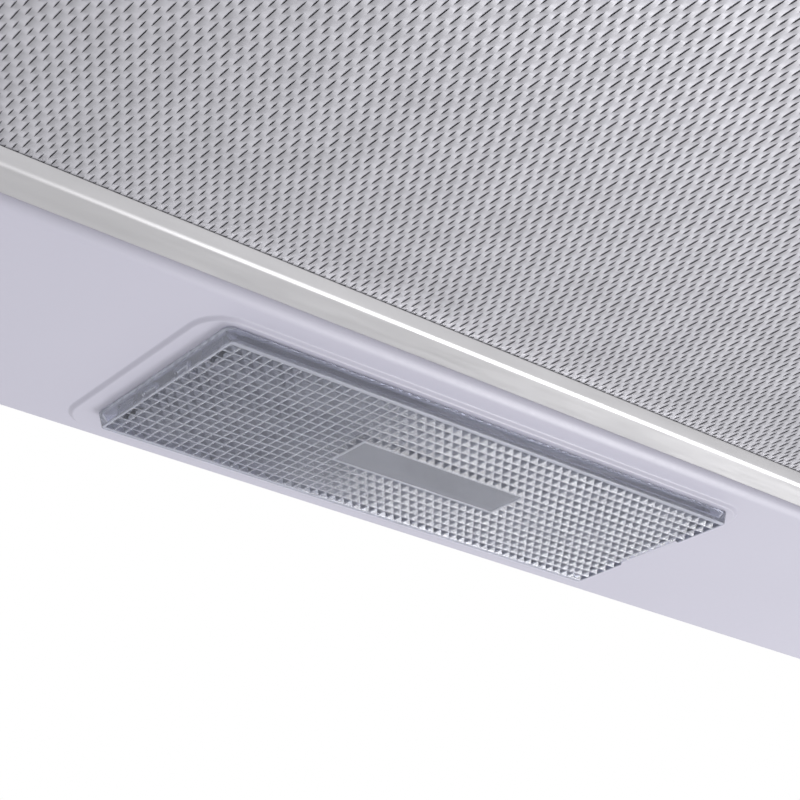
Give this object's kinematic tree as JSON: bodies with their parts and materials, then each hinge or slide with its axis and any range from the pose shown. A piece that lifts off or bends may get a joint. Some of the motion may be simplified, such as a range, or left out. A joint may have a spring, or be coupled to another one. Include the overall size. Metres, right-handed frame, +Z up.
{
  "type": "under cabinet range hood",
  "caption": "Under cabinet range hood with sloping front, large aluminium mesh filter, prismatic lamp cover in the rear strip, push buttons and a round outlet with damper flaps.",
  "frame": {"origin": "on the flat top face that meets the cabinet, on the centre line, 210 mm in front of the wall", "axes": "+X to the right seen from the front, +Y to the wall, +Z up"},
  "size_m": [0.6032, 0.507, 0.175],
  "materials": {
    "body_paint": "satin powder coat, pale lilac white",
    "galvanised": "bare galvanised sheet",
    "frame_aluminium": "rolled aluminium strip, satin",
    "mesh_aluminium": "expanded aluminium mesh, bare",
    "steel": "plated steel",
    "clear_cover": "clear moulded plastic with prisms inside a plain border",
    "bulb_glass": "frosted lamp glass",
    "ceramic": "glazed ceramic",
    "brass": "rolled brass shell",
    "white_plastic": "moulded plastic, satin white",
    "grey_plastic": "moulded plastic, fine texture",
    "black_plastic": "moulded plastic, fine texture",
    "rubber": "soft moulded rubber",
    "amber_lens": "clear amber plastic"
  },
  "bodies": {
    "hood_body": {"canopy": "body_paint", "lower_tray": "body_paint", "case_screw_left_front": "steel", "case_screw_left_rear": "steel", "case_screw_right_front": "steel", "case_screw_right_rear": "steel", "mount_rail_left": "galvanised", "mount_rail_right": "galvanised", "outlet_collar": "white_plastic", "damper_pin": "steel", "lamp_housing": "galvanised", "holder_bracket": "galvanised", "lamp_holder": "ceramic", "bulb_cap": "brass", "bulb_glass": "bulb_glass", "scroll_lower": "grey_plastic", "scroll_upper": "grey_plastic", "inlet_ring": "black_plastic", "motor_body": "galvanised", "motor_bracket": "galvanised", "isolator_1": "rubber", "isolator_2": "rubber", "isolator_3": "rubber", "plenum": "grey_plastic", "control_bezel": "white_plastic", "switch_block": "black_plastic", "indicator_lens": "amber_lens", "cable_gland": "black_plastic", "terminal_base": "white_plastic", "terminal_cover": "white_plastic", "terminal_block": "white_plastic", "capacitor": "white_plastic", "capacitor_clip": "galvanised"},
    "filter": {"filter_frame": "frame_aluminium", "filter_mesh_lower": "mesh_aluminium", "filter_core": "mesh_aluminium", "filter_mesh_upper": "mesh_aluminium", "filter_tab_left": "steel", "filter_tab_right": "steel", "latch_housing_left": "grey_plastic", "latch_housing_right": "grey_plastic"},
    "latch_left": {"latch_slider_left": "white_plastic"},
    "latch_right": {"latch_slider_right": "white_plastic"},
    "lamp_cover": {"lamp_cover": "clear_cover"},
    "fan": {"impeller": "black_plastic", "motor_shaft": "steel"},
    "damper_front": {"damper_flap_front": "grey_plastic"},
    "damper_rear": {"damper_flap_rear": "grey_plastic"},
    "button_off": {"button_off": "white_plastic"},
    "button_low": {"button_low": "white_plastic"},
    "button_medium": {"button_medium": "white_plastic"},
    "button_high": {"button_high": "white_plastic"},
    "button_lamp": {"button_lamp": "white_plastic"}
  },
  "joints": [
    {"name": "filter_tilt", "type": "hinge", "parent": "hood_body", "child": "filter", "pos_m": [0, 0.1204, -0.12925], "axis": [1, 0, 0], "range_deg": [0, 25]},
    {"name": "latch_left_slide", "type": "slide", "parent": "filter", "child": "latch_left", "axis": [0, 1, 0], "range_m": [0, 0.006], "stiffness_N_per_m": 250},
    {"name": "latch_right_slide", "type": "slide", "parent": "filter", "child": "latch_right", "axis": [0, 1, 0], "range_m": [0, 0.006], "stiffness_N_per_m": 250},
    {"name": "lamp_cover_swing", "type": "hinge", "parent": "hood_body", "child": "lamp_cover", "pos_m": [-0.08785, 0.1642, -0.1363], "axis": [0, 1, 0], "range_deg": [0, 60]},
    {"name": "fan_spin", "type": "hinge", "parent": "hood_body", "child": "fan", "pos_m": [-0.15, 0.005, -0.06], "axis": [0, 0, 1], "continuous": true},
    {"name": "damper_front_swing", "type": "hinge", "parent": "hood_body", "child": "damper_front", "pos_m": [0, 0.105, 0.016], "axis": [-1, 0, 0], "range_deg": [0, 78]},
    {"name": "damper_rear_swing", "type": "hinge", "parent": "hood_body", "child": "damper_rear", "pos_m": [0, 0.105, 0.016], "axis": [1, 0, 0], "range_deg": [0, 78]},
    {"name": "button_off_press", "type": "slide", "parent": "hood_body", "child": "button_off", "axis": [0, 1, 0], "range_m": [0, 0.0035], "stiffness_N_per_m": 400},
    {"name": "button_low_press", "type": "slide", "parent": "hood_body", "child": "button_low", "axis": [0, 1, 0], "range_m": [0, 0.0035], "stiffness_N_per_m": 400},
    {"name": "button_medium_press", "type": "slide", "parent": "hood_body", "child": "button_medium", "axis": [0, 1, 0], "range_m": [0, 0.0035], "stiffness_N_per_m": 400},
    {"name": "button_high_press", "type": "slide", "parent": "hood_body", "child": "button_high", "axis": [0, 1, 0], "range_m": [0, 0.0035], "stiffness_N_per_m": 400},
    {"name": "button_lamp_press", "type": "slide", "parent": "hood_body", "child": "button_lamp", "axis": [0, 1, 0], "range_m": [0, 0.0035], "stiffness_N_per_m": 400}
  ]
}
